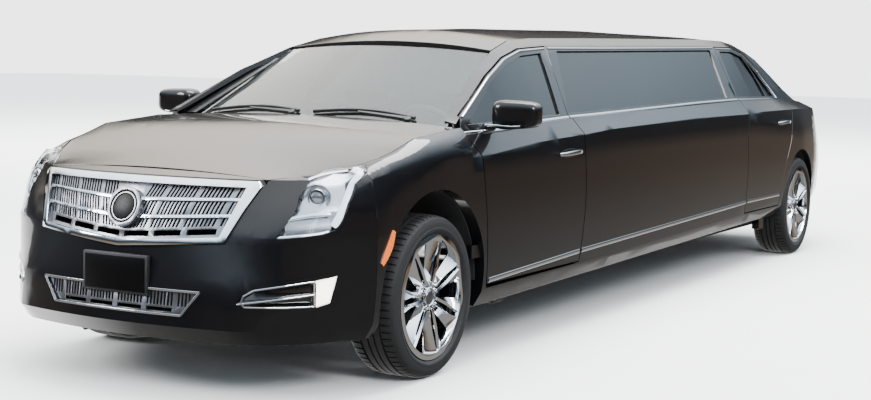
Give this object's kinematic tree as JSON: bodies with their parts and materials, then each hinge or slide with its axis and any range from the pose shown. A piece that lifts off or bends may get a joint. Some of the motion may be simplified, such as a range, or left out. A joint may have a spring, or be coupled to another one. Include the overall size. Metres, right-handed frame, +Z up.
{
  "type": "stretch limousine",
  "caption": "Stretch saloon limousine: long centre section between four hinged doors, hood, trunk lid, steered front wheels and chrome-trimmed windows.",
  "frame": {"origin": "on the ground at the middle of the car's overall box", "axes": "+X towards the nose, along the car; +Y towards its left side; +Z up"},
  "size_m": [7.6706, 2.18, 1.5579],
  "materials": {
    "body_paint": "gloss",
    "chrome_trim": "polished",
    "lamp_clear": "clear",
    "lamp_red": "gloss",
    "clear_glass": "clear",
    "tinted_glass": "clear",
    "underbody": "matte",
    "cabin_plastic": "matte",
    "leather": "satin",
    "cast_engine": "cast",
    "chassis_steel": "satin",
    "tyre_rubber": "matte",
    "wheel_chrome": "polished"
  },
  "bodies": {
    "body": {"front_fenders": "body_paint", "sills": "body_paint", "centre_panels": "body_paint", "quarter_panels": "body_paint", "cant_rails": "body_paint", "roof_panel": "body_paint", "rear_deck": "body_paint", "front_bumper": "body_paint", "rear_bumper": "body_paint", "grilles": "chrome_trim", "headlamps": "lamp_clear", "tail_lamps": "lamp_red", "windshield": "clear_glass", "rear_window": "tinted_glass", "long_windows": "tinted_glass", "floor_pan": "underbody", "cowl": "underbody", "dashboard": "cabin_plastic", "seats": "leather", "partition": "cabin_plastic", "engine_block": "cast_engine", "front_subframe": "chassis_steel", "rear_axle": "chassis_steel", "fog_lamps": "lamp_clear", "wheelhouses": "underbody", "exhaust": "chassis_steel"},
    "hood_panel": {"hood": "body_paint"},
    "trunk": {"trunk_lid": "body_paint"},
    "door_front_left_leaf": {"door_front_left": "body_paint", "glass_front_left": "tinted_glass", "mirror_left": "body_paint"},
    "door_rear_left_leaf": {"door_rear_left": "body_paint", "glass_rear_left": "tinted_glass"},
    "upright_left": {"knuckle_left": "chassis_steel"},
    "wheel_front_left": {"tyre_front_left": "tyre_rubber", "rim_front_left": "wheel_chrome"},
    "wheel_rear_left": {"tyre_rear_left": "tyre_rubber", "rim_rear_left": "wheel_chrome"},
    "door_front_right_leaf": {"door_front_right": "body_paint", "glass_front_right": "tinted_glass", "mirror_right": "body_paint"},
    "door_rear_right_leaf": {"door_rear_right": "body_paint", "glass_rear_right": "tinted_glass"},
    "upright_right": {"knuckle_right": "chassis_steel"},
    "wheel_front_right": {"tyre_front_right": "tyre_rubber", "rim_front_right": "wheel_chrome"},
    "wheel_rear_right": {"tyre_rear_right": "tyre_rubber", "rim_rear_right": "wheel_chrome"}
  },
  "joints": [
    {"name": "steer_left", "type": "hinge", "parent": "body", "child": "upright_left", "pos_m": [2.8295, 0.725, 0.352], "axis": [0, 0, 1], "range_deg": [-35, 35]},
    {"name": "steer_right", "type": "hinge", "parent": "body", "child": "upright_right", "pos_m": [2.8295, -0.725, 0.352], "axis": [0, 0, 1], "range_deg": [-35, 35]},
    {"name": "spin_front_left", "type": "hinge", "parent": "upright_left", "child": "wheel_front_left", "pos_m": [2.8295, 0.791, 0.352], "axis": [0, 1, 0], "continuous": true},
    {"name": "spin_front_right", "type": "hinge", "parent": "upright_right", "child": "wheel_front_right", "pos_m": [2.8295, -0.791, 0.352], "axis": [0, 1, 0], "continuous": true},
    {"name": "spin_rear_left", "type": "hinge", "parent": "body", "child": "wheel_rear_left", "pos_m": [-2.5475, 0.791, 0.352], "axis": [0, 1, 0], "continuous": true},
    {"name": "spin_rear_right", "type": "hinge", "parent": "body", "child": "wheel_rear_right", "pos_m": [-2.5475, -0.791, 0.352], "axis": [0, 1, 0], "continuous": true},
    {"name": "front_door_left", "type": "hinge", "parent": "body", "child": "door_front_left_leaf", "pos_m": [2.4175, 0.927, 0.7], "axis": [0, 0, -1], "range_deg": [0, 65]},
    {"name": "front_door_right", "type": "hinge", "parent": "body", "child": "door_front_right_leaf", "pos_m": [2.4175, -0.927, 0.7], "axis": [0, 0, 1], "range_deg": [0, 65]},
    {"name": "rear_door_left", "type": "hinge", "parent": "body", "child": "door_rear_left_leaf", "pos_m": [-1.3105, 0.927, 0.7], "axis": [0, 0, -1], "range_deg": [0, 65]},
    {"name": "rear_door_right", "type": "hinge", "parent": "body", "child": "door_rear_right_leaf", "pos_m": [-1.3105, -0.927, 0.7], "axis": [0, 0, 1], "range_deg": [0, 65]},
    {"name": "hood_hinge", "type": "hinge", "parent": "body", "child": "hood_panel", "pos_m": [2.5295, 0, 1.093], "axis": [0, -1, 0], "range_deg": [0, 50]},
    {"name": "trunk_hinge", "type": "hinge", "parent": "body", "child": "trunk", "pos_m": [-3.0755, 0, 1.086], "axis": [0, 1, 0], "range_deg": [0, 75]}
  ],
  "couplings": [
    {"joint": "steer_right", "follows": "steer_left", "ratio": 1}
  ]
}
